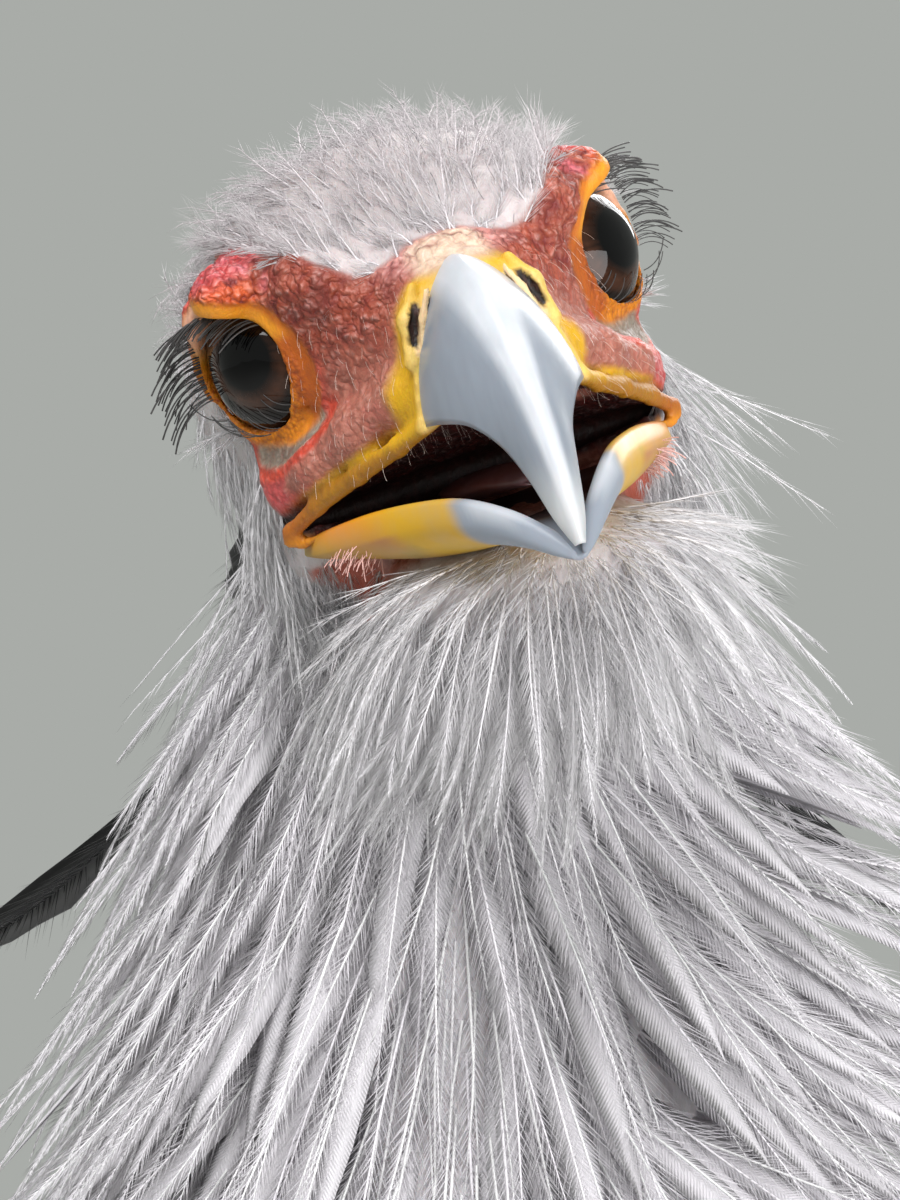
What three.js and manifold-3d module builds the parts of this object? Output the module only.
// A secretary bird standing still, life size, in millimetres.
// The bird faces -Y, +X is its left side, +Z is up, and the floor is z = 0.
import * as THREE from "three";
import { mergeVertices } from "three/addons/utils/BufferGeometryUtils.js";
import Module from "manifold-3d";

const wasm = await Module();
wasm.setup();

// Driving sizes and places
const GAP = 0.3; // between neighbouring pieces
const EYES = [-6, -235, 1090]; // the middle between the eyes
const HEAD_TURN = 10; // degrees towards the bird's left
const HEAD_TILT = 18.2; // degrees, the crown leaning to the bird's right
const HEAD_NOD = -1.3; // degrees, the bill lowered
const HEAD_BOW = 3; // degrees, the whole tilted head lowered towards a low viewpoint
const EYE_RADIUS = 12.5;
const EYE_APART = 19; // half the distance between the eyeballs' centres
const EYE_AXIS = 50; // degrees between an eye's axis and the bill
const LASHES = 5; // on each upper lid
const LEG_APART = 56; // half the distance between the legs
const LEG_FORWARD = -20; // where the toes meet, in front of the origin
const ANKLE_HEIGHT = 340;
const TAIL_ROOT = [0, 188, 702];
const TAIL_SLOPE = -27; // degrees below the horizontal
const TAIL_LONG = 640;

const vector = (x, y, z) => new THREE.Vector3(x, y, z);
const X = vector(1, 0, 0);
const AHEAD = { across: vector(-1, 0, 0) }; // for a loft that runs towards the bill, so that it rises to +Z
const radians = THREE.MathUtils.degToRad;

// A closed geometry as a solid, turned right side out.
function solid(geometry) {
  const plain = new THREE.BufferGeometry().setAttribute("position", geometry.getAttribute("position"));
  if (geometry.index) plain.setIndex(geometry.index);
  const merged = mergeVertices(plain, 1e-3);
  const made = new wasm.Manifold(
    new wasm.Mesh({
      numProp: 3,
      vertProperties: merged.attributes.position.array,
      triVerts: new Uint32Array(merged.index.array),
    }),
  );
  if (made.volume() > 0) return made;
  merged.setIndex(Array.from(merged.index.array).reverse());
  return solid(merged);
}

// The largest closed piece of a solid, as a geometry.
function geometryOf(made) {
  const kept = made.decompose().reduce((a, b) => (b.volume() > a.volume() ? b : a));
  const mesh = kept.getMesh();
  return new THREE.BufferGeometry()
    .setAttribute("position", new THREE.BufferAttribute(mesh.vertProperties, 3))
    .setIndex(new THREE.BufferAttribute(mesh.triVerts, 1));
}

const join = (pieces) => pieces.reduce((a, b) => a.add(b));

// A loft's frame as a function of t: its centre, its direction, the side, the rising direction and its sizes.
function framesOf(stations, across = X) {
  const centres = new THREE.CatmullRomCurve3(stations.map((s) => vector(...s.at)));
  const sizes = new THREE.CatmullRomCurve3(stations.map((s) => vector(s.wide, s.rise, s.drop)));
  const known = new Map();
  return (t) => {
    if (known.has(t)) return known.get(t);
    const along = centres.getTangent(t);
    const side = across.clone().addScaledVector(along, -across.dot(along)).normalize();
    const up = side.clone().cross(along);
    const [wide, rise, drop] = sizes.getPoint(t).toArray().map((v) => Math.max(v, 0.4));
    const frame = { centre: centres.getPoint(t), along, side, up, wide, rise, drop };
    known.set(t, frame);
    return frame;
  };
}

// A point on a loft's surface: turn 0 is the rising side and 90 degrees is the side.
function onLoft(frame, turn, grow = 0) {
  const c = Math.cos(turn);
  const s = Math.sin(turn);
  const rise = (c > 0 ? frame.rise : frame.drop) + grow;
  return frame.centre
    .clone()
    .addScaledVector(frame.up, rise * c)
    .addScaledVector(frame.side, (frame.wide + grow) * s);
}

// A closed body along a curve through the stations, oval in section.
function loft(stations, { sides = 20, steps = 16, across = X, grow = 0 } = {}) {
  const geometry = new THREE.CylinderGeometry(1, 1, 1, sides, steps);
  const place = geometry.attributes.position;
  const frames = framesOf(stations, across);
  for (let i = 0; i < place.count; i++) {
    const t = 0.5 - place.getY(i);
    const frame = frames(t);
    const reach = Math.hypot(place.getX(i), place.getZ(i));
    const turn = Math.atan2(place.getX(i), place.getZ(i));
    const point = reach < 0.5 ? frame.centre.clone() : onLoft(frame, turn, grow);
    if (t < 1e-6) point.addScaledVector(frame.along, -grow);
    if (t > 1 - 1e-6) point.addScaledVector(frame.along, grow);
    place.setXYZ(i, point.x, point.y, point.z);
  }
  return solid(geometry);
}

// A stretched ball.
function ball(at, radii, { turnZ = 0, turnX = 0, detail = 16, grow = 0 } = {}) {
  const geometry = new THREE.SphereGeometry(1, detail, Math.round(detail * 0.6));
  geometry.scale(radii[0] + grow, radii[1] + grow, radii[2] + grow);
  geometry.rotateX(turnX);
  geometry.rotateZ(turnZ);
  geometry.translate(...at);
  return solid(geometry);
}

// A repeatable source of numbers from -1 to 1.
function drawer(seed) {
  let state = seed;
  return () => {
    state = (state * 16807) % 2147483647;
    return (state / 2147483647) * 2 - 1;
  };
}

// Half widths of vanes at even steps along the shaft, as shares of the greatest half width, down to the tip.
const LANCE = [0.55, 1, 0.6, 0];
const BLADE = [0.55, 1, 0.95, 0];
const QUILL = [0.55, 1, 0.9, 0];
const LONG_QUILL = [0.55, 0.95, 1, 0.9, 0.8, 0.66, 0];
const SPOON = [0.2, 0.26, 0.5, 1, 0.8, 0];
const LASH = [1, 0.8, 0.5, 0];

// The direction that leaves one direction for another, square to it, by an angle.
const between = (from, to, angle) =>
  vector(0, 0, 0).addScaledVector(from, Math.cos(angle)).addScaledVector(to, Math.sin(angle));

// A feather, lock or lash: a lens in section along a shaft that starts at root, runs towards aim and bends
// by an angle towards its outer face. Both faces are split alike.
function vane({ root, aim, face, long, wide, thick = 1.3, bend = 0, cup = 0, outline = LANCE, grow = 0 }) {
  const side = aim.clone().cross(face).normalize();
  const out = side.clone().cross(aim).normalize();
  const last = outline.length - 1;
  const places = [];
  const at = root.clone();
  outline.forEach((share, i) => {
    const way = aim.clone().applyAxisAngle(side, (bend * (i - 0.5)) / last);
    if (i > 0) at.addScaledVector(way, long / last);
    const normal = out.clone().applyAxisAngle(side, (bend * i) / last);
    const half = (share * wide) / 2 + 2 * grow;
    const deep = (thick / 2) * (1 - (0.6 * i) / last) + 2 * grow;
    if (i === last) return places.push(at.clone().addScaledVector(way, 40 * grow));
    const edge = at.clone().addScaledVector(normal, -cup * half);
    places.push(edge.clone().addScaledVector(side, -half));
    places.push(at.clone().addScaledVector(normal, deep));
    places.push(edge.clone().addScaledVector(side, half));
    places.push(at.clone().addScaledVector(normal, -deep));
  });
  const faces = [0, 3, 1, 3, 2, 1];
  for (let i = 0; i < last - 1; i++) {
    const [l, t, r, b] = [0, 1, 2, 3].map((k) => 4 * i + k);
    const [nl, nt, nr, nb] = [4, 5, 6, 7].map((k) => 4 * i + k);
    faces.push(l, t, nt, l, nt, nl, t, r, nt, r, nr, nt);
    faces.push(l, nl, nb, l, nb, b, b, nb, r, r, nb, nr);
  }
  const [l, t, r, b] = [0, 1, 2, 3].map((k) => 4 * (last - 1) + k);
  const tip = 4 * last;
  faces.push(l, t, tip, t, r, tip, l, tip, b, b, tip, r);
  const geometry = new THREE.BufferGeometry().setFromPoints(places);
  geometry.setIndex(faces);
  return solid(geometry);
}

// Head, in its own frame: the origin is between the eyes and the bill points to -Y.
const eyeAt = (s) => [s * EYE_APART, 0, 0];
const eyeAxis = (s) => vector(s * Math.sin(radians(EYE_AXIS)), -Math.cos(radians(EYE_AXIS)), 0);

const SKULL = [
  { at: [0, -38, -5], wide: 9, rise: 8.5, drop: 9 },
  { at: [0, -32, -4], wide: 12, rise: 11, drop: 12 },
  { at: [0, -22, -2], wide: 17, rise: 16, drop: 16 },
  { at: [0, -11, 0], wide: 24, rise: 21, drop: 21 },
  { at: [0, 1, 1], wide: 29.5, rise: 25, drop: 28 },
  { at: [0, 13, 0], wide: 33.5, rise: 28.5, drop: 36 },
  { at: [0, 26, -1], wide: 34, rise: 28.5, drop: 37 },
  { at: [0, 38, -3], wide: 30, rise: 25, drop: 32 },
  { at: [0, 47, -5], wide: 21, rise: 18, drop: 22 },
  { at: [0, 53, -7], wide: 8, rise: 7, drop: 8 },
];

// The horny upper bill: culmen and cutting edge, each [y, z], and the half width between them.
const UPPER_BILL = [
  { culmen: [-31, 5], edge: [-31, -16.5], wide: 12 },
  { culmen: [-39, 4.5], edge: [-38, -16.5], wide: 11.6 },
  { culmen: [-47, 1.5], edge: [-45, -17], wide: 10.2 },
  { culmen: [-54, -5], edge: [-50.5, -18.5], wide: 7.8 },
  { culmen: [-59.5, -14], edge: [-54, -22.5], wide: 5.2 },
  { culmen: [-62, -24], edge: [-57, -28], wide: 3.6 },
  { culmen: [-61.5, -33], edge: [-58.3, -34], wide: 2.3 },
  { culmen: [-60.2, -38.2], edge: [-59.2, -38.4], wide: 0.8 },
];

function billStations() {
  return UPPER_BILL.map(({ culmen, edge, wide }) => {
    const half = Math.hypot(culmen[0] - edge[0], culmen[1] - edge[1]) / 2;
    return { at: [0, (culmen[0] + edge[0]) / 2, (culmen[1] + edge[1]) / 2], wide, rise: half, drop: half };
  });
}

const upperBill = (grow = 0) => loft(billStations(), { sides: 12, steps: 12, grow, ...AHEAD });

// The lower jaw: a trough from the corners of the gape to the tip.
const LOWER_JAW = [
  { at: [0, 1, -28.5], wide: 28, rise: 3, drop: 4 },
  { at: [0, -8, -28.5], wide: 27.5, rise: 3.5, drop: 5 },
  { at: [0, -20, -28.5], wide: 22, rise: 4, drop: 5.5 },
  { at: [0, -32, -29], wide: 16.5, rise: 3.6, drop: 5.5 },
  { at: [0, -42, -30.5], wide: 12, rise: 3.6, drop: 5 },
  { at: [0, -50, -33.5], wide: 7.5, rise: 2.6, drop: 4 },
  { at: [0, -54.5, -37], wide: 3.4, rise: 1.6, drop: 2.4 },
  { at: [0, -56.3, -39.2], wide: 1.2, rise: 0.7, drop: 0.9 },
];
const JAW_WALL = 2.6;

function lowerJaw(grow = 0) {
  const outside = loft(LOWER_JAW, { sides: 14, steps: 11, grow, ...AHEAD });
  if (grow) return outside;
  const hollow = LOWER_JAW.slice(0, 7).map((s) => ({
    at: [0, s.at[1] + 1.5, s.at[2] + s.rise + 1],
    wide: Math.max(s.wide - JAW_WALL, 0.5),
    rise: 4,
    drop: s.rise + s.drop - 1.2,
  }));
  return outside.subtract(loft(hollow, { sides: 10, steps: 7, ...AHEAD }));
}

const tongue = () =>
  loft(
    [
      { at: [0, -2, -26], wide: 7, rise: 2, drop: 2 },
      { at: [0, -14, -26.5], wide: 7, rise: 2, drop: 2 },
      { at: [0, -28, -27.3], wide: 5.5, rise: 1.6, drop: 1.6 },
      { at: [0, -38, -28.5], wide: 2.6, rise: 1, drop: 1 },
    ],
    { sides: 8, steps: 6, ...AHEAD },
  );

const eyeBall = (s, grow = 0) => ball(eyeAt(s), [EYE_RADIUS, EYE_RADIUS, EYE_RADIUS], { detail: 14, grow });

// The ring of lid round an eye.
function lidRing(s) {
  const geometry = new THREE.TorusGeometry(9.4, 2.1, 5, 16);
  geometry.lookAt(eyeAxis(s));
  const at = eyeAxis(s).multiplyScalar(8.6).add(vector(...eyeAt(s)));
  geometry.translate(at.x, at.y, at.z);
  return solid(geometry);
}

// Lashes along the upper lid, from its front to its outer corner, drooping over the eye's side.
function lashes(s) {
  const axis = eyeAxis(s);
  const rim = axis.clone().multiplyScalar(8.8).add(vector(...eyeAt(s)));
  const back = axis.clone().cross(vector(0, 0, 1)).multiplyScalar(-s);
  const made = [];
  for (let i = 0; i < LASHES; i++) {
    const share = i / (LASHES - 1);
    const turn = radians(-28 + 108 * share);
    const away = vector(0, 0, Math.cos(turn)).addScaledVector(back, Math.sin(turn));
    const aim = away.clone().multiplyScalar(0.62).addScaledVector(axis, 0.78).normalize();
    const root = rim.clone().addScaledVector(away, 8.6);
    const long = 10 + 5 * share;
    made.push(vane({ root, aim, face: away, long, wide: 1.3, thick: 1.1, bend: -1.1, outline: LASH }));
  }
  return made;
}

// The flesh of the head without its brows, lids and openings.
function headFlesh(grow = 0) {
  return [
    loft(SKULL, { sides: 16, steps: 11, grow }),
    ball([0, -5, -41], [25, 29, 12], { detail: 14, grow }), // throat under the jaw
    ball([0, -31, -4], [13.2, 7.5, 12], { detail: 12, grow }), // cere
    ball([0, 4, -30], [29.5, 9, 9], { detail: 12, grow }), // corners of the gape
  ];
}

function headSolid() {
  const pieces = headFlesh();
  for (const s of [-1, 1]) {
    pieces.push(ball([s * 25.5, -5, 13.5], [6.5, 15, 5], { turnZ: s * radians(33), detail: 12 })); // brow
    pieces.push(lidRing(s), ...lashes(s));
  }
  const mouth = loft(
    [
      { at: [0, 2, -22.5], wide: 24, rise: 2.5, drop: 3 },
      { at: [0, -10, -22], wide: 25, rise: 3.6, drop: 5 },
      { at: [0, -24, -21], wide: 19, rise: 4, drop: 6 },
      { at: [0, -44, -21], wide: 13, rise: 4, drop: 7 },
      { at: [0, -70, -22], wide: 13, rise: 4, drop: 9 },
    ],
    { sides: 12, steps: 7, ...AHEAD },
  );
  let head = join(pieces).subtract(mouth).subtract(lowerJaw(GAP)).subtract(upperBill(GAP));
  for (const s of [-1, 1]) {
    head = head.subtract(eyeBall(s, GAP));
    head = head.subtract(ball([s * 11.8, -34.5, -2.5], [1.6, 4.6, 1.7], { turnX: radians(-62), detail: 8 }));
  }
  return head;
}

// The patch of the nape that the crest grows from.
const NAPE = { at: [0, 50, -15], radii: [19, 15, 29] };
const nape = (grow = 0) => ball(NAPE.at, NAPE.radii, { detail: 12, grow });

// The crest's plumes in two rows, fanned out to both sides and hanging back from the nape.
const CREST_ROWS = [
  { plumes: 8, height: -4, long: [92, 118], spread: 62, hang: 30 },
  { plumes: 9, height: -26, long: [128, 168], spread: 70, hang: 36 },
];

function plumes(grow = 0) {
  const draw = drawer(11);
  const pieces = [];
  for (const row of CREST_ROWS) {
    for (let i = 0; i < row.plumes; i++) {
      const across = (2 * i) / (row.plumes - 1) - 1;
      const turn = radians(across * row.spread);
      const hang = radians(row.hang + 14 * (1 - Math.abs(across)) + 3 * draw());
      const aim = vector(Math.sin(turn) * Math.cos(hang), Math.cos(turn) * Math.cos(hang), -Math.sin(hang));
      const root = vector(9 * across, 57 - 4 * across * across, row.height + 3 * draw());
      const long = THREE.MathUtils.lerp(row.long[1], row.long[0], Math.abs(across)) + 8 * draw();
      const bend = -0.45 + 0.1 * draw();
      const shape = { long, wide: 15, thick: 1.8, bend, outline: SPOON, grow };
      pieces.push(vane({ root, aim, face: vector(0, 0.5, 1), ...shape }));
    }
  }
  return join(pieces);
}

const crestSolid = () => nape().add(plumes());

// Neck, torso, wings, thighs and tail, in the whole bird's frame.
const NECK = [
  { at: [-4, -212, 1072], wide: 26, rise: 24, drop: 20 },
  { at: [-2, -200, 1050], wide: 32, rise: 27, drop: 29 },
  { at: [0, -191, 1020], wide: 33, rise: 28, drop: 32 },
  { at: [1, -184, 985], wide: 35, rise: 31, drop: 35 },
  { at: [1, -176, 945], wide: 42, rise: 38, drop: 40 },
  { at: [0, -158, 905], wide: 56, rise: 50, drop: 44 },
  { at: [0, -130, 865], wide: 66, rise: 58, drop: 44 },
  { at: [0, -100, 830], wide: 62, rise: 50, drop: 44 },
];

const TORSO = [
  { at: [0, -196, 800], wide: 28, rise: 30, drop: 22 },
  { at: [0, -182, 800], wide: 52, rise: 52, drop: 42 },
  { at: [0, -150, 797], wide: 74, rise: 68, drop: 66 },
  { at: [0, -95, 785], wide: 89, rise: 82, drop: 86 },
  { at: [0, -20, 765], wide: 94, rise: 88, drop: 92 },
  { at: [0, 60, 742], wide: 84, rise: 80, drop: 82 },
  { at: [0, 125, 722], wide: 62, rise: 58, drop: 60 },
  { at: [0, 170, 708], wide: 40, rise: 34, drop: 38 },
  { at: [0, 192, 701], wide: 24, rise: 18, drop: 22 },
];

const torso = (grow = 0) => loft(TORSO, { sides: 20, steps: 13, grow });

// Hackles: rows of loose pointed feathers down the neck, raised most at its sides.
const HACKLE_ROWS = 6;
const HACKLES_ROUND = 9;

function neckSolid() {
  const draw = drawer(5);
  const frames = framesOf(NECK);
  const pieces = [loft(NECK, { sides: 14, steps: 8 })];
  for (let row = 0; row < HACKLE_ROWS; row++) {
    const frame = frames(0.17 + (0.55 * row) / (HACKLE_ROWS - 1));
    for (let i = 0; i < HACKLES_ROUND; i++) {
      const turn = (2 * Math.PI * (i + (row % 2) / 2)) / HACKLES_ROUND + 0.06 * draw();
      const root = onLoft(frame, turn, -3);
      const away = root.clone().sub(frame.centre).normalize();
      const sideways = Math.abs(Math.sin(turn));
      const behind = Math.max(0, Math.cos(turn));
      if (row < 2 && behind > 0.3) continue; // under the crest
      const raised = radians(19 + 27 * sideways - 11 * behind + 4 * draw());
      const aim = between(frame.along, away, raised);
      const long = 50 + 12 * sideways + 4 * draw();
      pieces.push(vane({ root, aim, face: away, long, wide: 14, thick: 1.5, bend: -0.25, cup: 0.15 }));
    }
  }
  return join(pieces);
}

const WING = [
  { at: [80, -168, 806], wide: 11, rise: 24, drop: 24 },
  { at: [91, -140, 802], wide: 14, rise: 44, drop: 42 },
  { at: [100, -80, 792], wide: 15, rise: 60, drop: 56 },
  { at: [103, 10, 770], wide: 13, rise: 64, drop: 58 },
  { at: [95, 100, 744], wide: 11, rise: 52, drop: 46 },
  { at: [84, 180, 722], wide: 8, rise: 32, drop: 28 },
  { at: [76, 240, 706], wide: 4, rise: 12, drop: 12 },
];

// Tiers of wing feathers, each from front to back along the wing: primaries, secondaries, two rows of
// coverts and tertials. round is their place round the wing, where 90 is the middle of the outer face and 180
// the lower edge, and slope is how far they run below the wing's own direction.
const WING_TIERS = [
  { count: 6, along: [0.52, 0.93], round: [128, 104], slope: [14, 5], long: [190, 235], wide: 27 },
  { count: 5, along: [0.18, 0.6], round: [128, 122], slope: [26, 18], long: [110, 165], wide: 38 },
  { count: 4, along: [0.14, 0.62], round: [98, 92], slope: [22, 12], long: [104, 122], wide: 40 },
  { count: 4, along: [0.12, 0.56], round: [66, 62], slope: [16, 8], long: [92, 108], wide: 38 },
  { count: 3, along: [0.3, 0.76], round: [30, 38], slope: [4, 0], long: [150, 180], wide: 38 },
];

function wingSolid() {
  const draw = drawer(23);
  const frames = framesOf(WING);
  const { lerp } = THREE.MathUtils;
  const pieces = [loft(WING, { sides: 12, steps: 10 })];
  for (const tier of WING_TIERS) {
    for (let i = 0; i < tier.count; i++) {
      const share = i / (tier.count - 1);
      const frame = frames(lerp(...tier.along, share));
      const turn = radians(lerp(...tier.round, share));
      const root = onLoft(frame, turn, -2.5);
      const slope = radians(lerp(...tier.slope, share) + draw());
      const aim = between(frame.along, frame.up, -slope);
      const out = vector(0, 0, 0).addScaledVector(frame.side, Math.sin(turn) + 0.5);
      out.addScaledVector(frame.up, Math.cos(turn));
      const lifted = aim.addScaledVector(out.normalize(), 0.06).normalize();
      const tucked = out.clone().applyAxisAngle(lifted, radians(8));
      const long = lerp(...tier.long, share) + 3 * draw();
      const outline = long > 125 ? QUILL : BLADE;
      const shape = { long, wide: tier.wide, thick: 1.7, bend: -0.12, cup: 0.12, outline };
      pieces.push(vane({ root, aim: lifted, face: tucked, ...shape }));
    }
  }
  return join(pieces);
}

const THIGH = [
  { at: [LEG_APART - 4, -62, 706], wide: 26, rise: 38, drop: 36 },
  { at: [LEG_APART - 2, -52, 660], wide: 33, rise: 52, drop: 48 },
  { at: [LEG_APART, -36, 590], wide: 33, rise: 52, drop: 44 },
  { at: [LEG_APART, -16, 500], wide: 27, rise: 40, drop: 32 },
  { at: [LEG_APART, 2, 420], wide: 20, rise: 27, drop: 22 },
  { at: [LEG_APART, 12, 356], wide: 13, rise: 15, drop: 14 },
];

// The breeches' shaggy lower edge.
const THIGH_LOCKS = [
  { count: 5, place: 0.62, long: 62 },
  { count: 5, place: 0.82, long: 46 },
];

function thighSolid() {
  const draw = drawer(31);
  const frames = framesOf(THIGH);
  const pieces = [loft(THIGH, { sides: 12, steps: 8 })];
  for (const { count, place, long } of THIGH_LOCKS) {
    for (let i = 0; i < count; i++) {
      const frame = frames(place);
      const turn = (2 * Math.PI * (i + place)) / count;
      const root = onLoft(frame, turn, -2.5);
      const away = root.clone().sub(frame.centre).normalize();
      const aim = frame.along.clone().addScaledVector(away, 0.06 + 0.03 * draw()).normalize();
      pieces.push(vane({ root, aim, face: away, long: long + 5 * draw(), wide: 20, thick: 2, bend: -0.1 }));
    }
  }
  return join(pieces);
}

const SHANK = [
  { at: [LEG_APART, 14, ANKLE_HEIGHT + 15], wide: 9, rise: 10, drop: 10 },
  { at: [LEG_APART, 15, ANKLE_HEIGHT - 2], wide: 12, rise: 13, drop: 13 },
  { at: [LEG_APART, 12, ANKLE_HEIGHT - 22], wide: 9, rise: 9.5, drop: 10 },
  { at: [LEG_APART, 4, 240], wide: 7.4, rise: 8.6, drop: 8.8 },
  { at: [LEG_APART, -6, 130], wide: 7.2, rise: 8.4, drop: 8.8 },
  { at: [LEG_APART, -15, 46], wide: 8.4, rise: 9, drop: 9.6 },
  { at: [LEG_APART, -19, 26], wide: 10.5, rise: 10, drop: 11 },
];

// The tail, in its own frame: its root is the origin and its feathers run to +Y.
const TAIL = [
  { at: [0, 0, 0], wide: 25, rise: 18, drop: 22 },
  { at: [0, 40, -2], wide: 30, rise: 17, drop: 21 },
  { at: [0, 90, -4], wide: 29, rise: 12, drop: 15 },
  { at: [0, 140, -4], wide: 21, rise: 5, drop: 7 },
];

// Tail feathers from the middle pair outwards: length, and width.
const RECTRICES = [
  { long: TAIL_LONG - 60, wide: 34 },
  { long: 352, wide: 44 },
  { long: 334, wide: 43 },
  { long: 316, wide: 42 },
  { long: 300, wide: 40 },
  { long: 282, wide: 36 },
];
const TAIL_COVERTS = [
  { count: 4, rising: 1, long: 120 },
  { count: 4, rising: -1, long: 150 },
];

function tailSolid() {
  const draw = drawer(43);
  const pieces = [loft(TAIL, { sides: 14, steps: 5 })];
  RECTRICES.forEach(({ long, wide }, i) => {
    for (const s of [-1, 1]) {
      const layer = 5 - 2.4 * i - (s > 0 ? 1.2 : 0);
      const turn = radians(s * (0.6 + 2.5 * i));
      const aim = vector(Math.sin(turn), Math.cos(turn), 0);
      const root = vector(s * (3 + 3.2 * i), 60, layer - 3);
      const shape = { long, wide, thick: 1.3, bend: -0.04, outline: i ? QUILL : LONG_QUILL };
      pieces.push(vane({ root, aim, face: vector(0, 0, 1), ...shape }));
    }
  });
  for (const { count, rising, long } of TAIL_COVERTS) {
    for (let i = 0; i < count; i++) {
      const across = (2 * i) / (count - 1) - 1;
      const root = vector(across * 19, 34 + 10 * draw(), rising * (14 - 7 * across * across) - 3);
      const aim = vector(across * 0.12, 1, rising * -0.06).normalize();
      const face = vector(across * 0.7, 0, rising);
      pieces.push(vane({ root, aim, face, long: long + 8 * draw(), wide: 30, thick: 1.8, outline: BLADE }));
    }
  }
  return join(pieces);
}

// Toes from the middle of the foot: direction in degrees from straight ahead, length and height.
const FOOT = [LEG_APART, LEG_FORWARD, 0];
const TOES = [
  { turn: 4, long: 62, thick: 6.2 },
  { turn: -34, long: 43, thick: 5.8 },
  { turn: 40, long: 46, thick: 5.6 },
  { turn: 172, long: 27, thick: 5.4 },
];
const CLAW_LONG = 19;

const toeWay = (turn) => vector(Math.sin(radians(turn)), -Math.cos(radians(turn)), 0);

function toe({ turn, long, thick }, grow = 0) {
  const way = toeWay(turn);
  const at = (d, z) => [FOOT[0] + way.x * d, FOOT[1] + way.y * d, z];
  const across = vector(way.y, -way.x, 0);
  const made = loft(
    [
      { at: at(0, 13), wide: thick + 2, rise: 8, drop: 12 },
      { at: at(12, 9), wide: thick + 0.6, rise: 7, drop: 9 },
      { at: at(long * 0.45, 6.4), wide: thick, rise: thick, drop: 7.5 },
      { at: at(long * 0.75, 5.6), wide: thick * 0.86, rise: thick * 0.9, drop: 7 },
      { at: at(long, 5), wide: thick * 0.7, rise: thick * 0.6, drop: 6 },
    ],
    { sides: 8, steps: 5, across, grow },
  );
  return made;
}

function claw({ turn, long, thick }) {
  const way = toeWay(turn);
  const start = long + GAP + 0.2;
  const at = (d, z) => [FOOT[0] + way.x * (start + d), FOOT[1] + way.y * (start + d), z];
  const across = vector(way.y, -way.x, 0);
  return loft(
    [
      { at: at(0, 5), wide: thick * 0.5, rise: thick * 0.5, drop: 3.4 },
      { at: at(CLAW_LONG * 0.4, 4.6), wide: thick * 0.42, rise: thick * 0.4, drop: 2.8 },
      { at: at(CLAW_LONG * 0.75, 3), wide: thick * 0.26, rise: 1.6, drop: 1.8 },
      { at: at(CLAW_LONG, 1.2), wide: 0.5, rise: 0.5, drop: 0.6 },
    ],
    { sides: 6, steps: 4, across },
  );
}

// What lies above the floor, so that a sole is flat.
function aboveFloor(made) {
  const slab = new THREE.BoxGeometry(400, 400, 40);
  slab.translate(0, 0, -20);
  return made.subtract(solid(slab));
}

const shank = (grow = 0) => loft(SHANK, { sides: 12, steps: 12, grow });

// The shank with a row of overlapping scutes down its front, each standing out at its lower edge.
const SCUTES = 9;
const SCUTE_LIP = 1.1;

function scutedShank() {
  const frames = framesOf(SHANK);
  const stations = [];
  const station = (t, lip) => {
    const { centre, wide, rise, drop } = frames(t);
    stations.push({ at: centre.toArray(), wide, rise, drop: drop + lip });
  };
  station(0, 0);
  station(0.16, 0);
  for (let i = 0; i < SCUTES; i++) {
    station(0.3 + (0.66 * i) / SCUTES, 0);
    station(0.3 + (0.66 * (i + 0.86)) / SCUTES, SCUTE_LIP);
  }
  station(1, 0);
  return loft(stations, { sides: 12, steps: stations.length - 1 });
}

const COLOURS = {
  plume: { color: 0xd3d1d6, roughness: 0.9 },
  black: { color: 0x17161a, roughness: 0.8 },
  tail: { color: 0x6b696e, roughness: 0.8 },
  skin: { color: 0xe07a4a, roughness: 0.6 },
  horn: { color: 0xc9d0da, roughness: 0.35 },
  eye: { color: 0x15100e, roughness: 0.05 },
  shank: { color: 0xcf9c8c, roughness: 0.6 },
  claw: { color: 0x1c1a1b, roughness: 0.4 },
};

const bird = new THREE.Group();
const head = new THREE.Group();
const headLean = new THREE.Group();
head.rotation.set(radians(HEAD_NOD), radians(-HEAD_TILT), radians(HEAD_TURN), "YZX");
headLean.rotation.x = radians(HEAD_BOW);
headLean.position.set(...EYES);
headLean.add(head);
bird.add(headLean);
bird.updateMatrixWorld(true);

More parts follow.
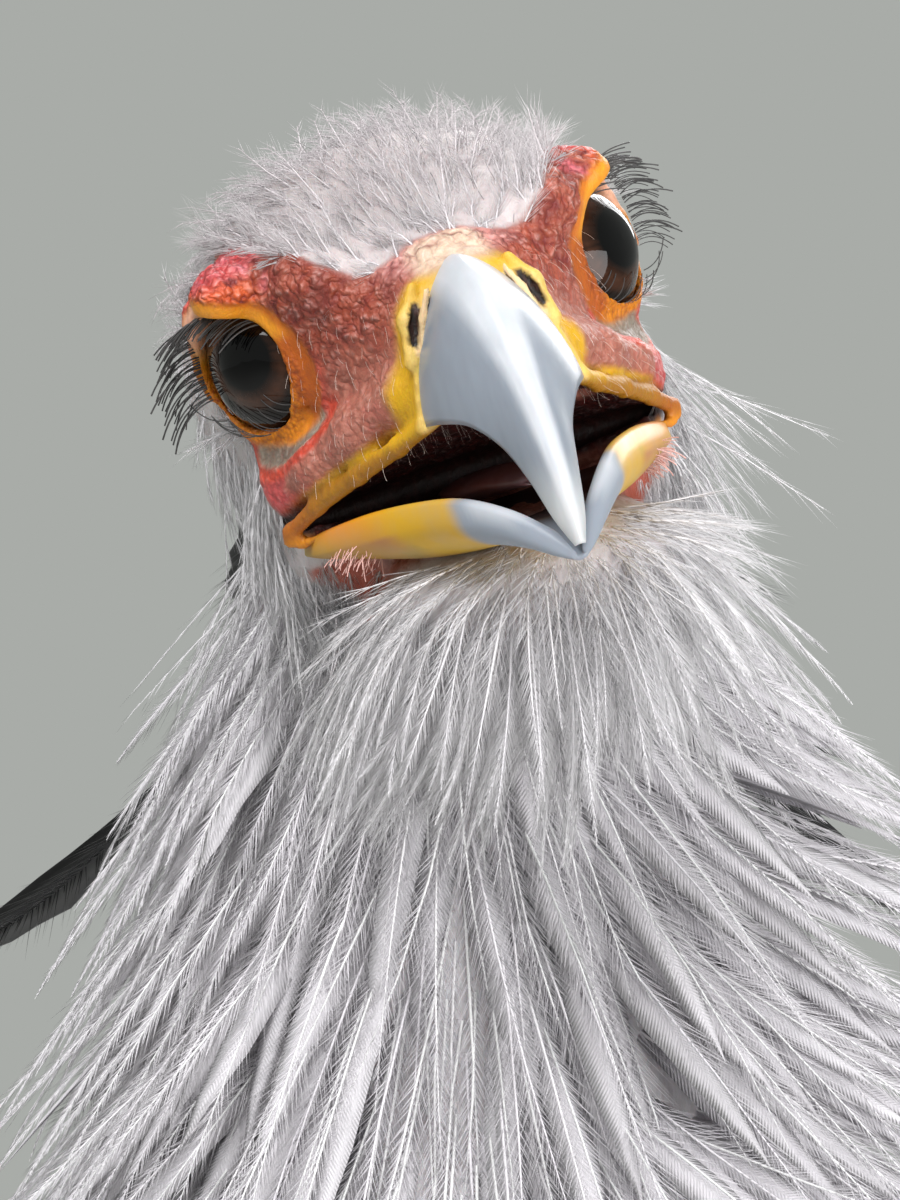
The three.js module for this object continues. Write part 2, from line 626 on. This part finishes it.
function put(name, made, colour, group = bird, mirrored = false) {
  const mesh = new THREE.Mesh(geometryOf(made), new THREE.MeshStandardMaterial(COLOURS[colour]));
  mesh.name = name;
  mesh.scale.x = mirrored ? -1 : 1;
  group.add(mesh);
  return mesh;
}

// What meets the head or a wing is cut by these, which are a little larger.
const headClearance = () =>
  join([...headFlesh(GAP), nape(GAP), plumes(GAP)]).transform(head.matrixWorld.elements);
const wingClearance = () => loft(WING, { sides: 14, steps: 12, grow: GAP + 2 });

put("head", headSolid().subtract(nape(GAP)), "skin", head);
put("bill_upper", upperBill(), "horn", head);
put("bill_lower", lowerJaw().subtract(upperBill(GAP)), "horn", head);
put("tongue", tongue(), "skin", head);
put("eye_left", eyeBall(1), "eye", head);
put("eye_right", eyeBall(-1), "eye", head);
put("crest", crestSolid(), "black", head);
const neck = neckSolid().subtract(headClearance()).subtract(torso(GAP));
put("neck", neck.subtract(wingClearance()).subtract(wingClearance().mirror([1, 0, 0])), "plume");
put("torso", torso(), "plume");
const wing = wingSolid().subtract(torso(GAP));
const thigh = thighSolid().subtract(torso(GAP)).subtract(shank(GAP + SCUTE_LIP)).subtract(wingClearance());
const foot = aboveFloor(join(TOES.map((t) => toe(t)))).subtract(shank(GAP + SCUTE_LIP));
for (const [hand, mirrored] of [["left", false], ["right", true]]) {
  put(`wing_${hand}`, wing, "plume", bird, mirrored);
  put(`thigh_${hand}`, thigh, "black", bird, mirrored);
  put(`shank_${hand}`, scutedShank(), "shank", bird, mirrored);
  put(`foot_${hand}`, foot, "shank", bird, mirrored);
  TOES.forEach((t, i) => put(`claw_${hand}_${i + 1}`, aboveFloor(claw(t)), "claw", bird, mirrored));
}

const tailLean = new THREE.Group();
tailLean.position.set(...TAIL_ROOT);
tailLean.rotation.x = radians(TAIL_SLOPE);
bird.add(tailLean);
bird.updateMatrixWorld(true);
const torsoForTail = torso(GAP).transform(tailLean.matrixWorld.clone().invert().elements);
put("tail", tailSolid().subtract(torsoForTail), "tail", tailLean);

// The origin is the middle of the bounding box at floor level.
bird.updateMatrixWorld(true);
const box = new THREE.Box3().setFromObject(bird, true);
const middle = box.getCenter(vector(0, 0, 0));
bird.position.set(-middle.x, -middle.y, -box.min.z);

export default bird;
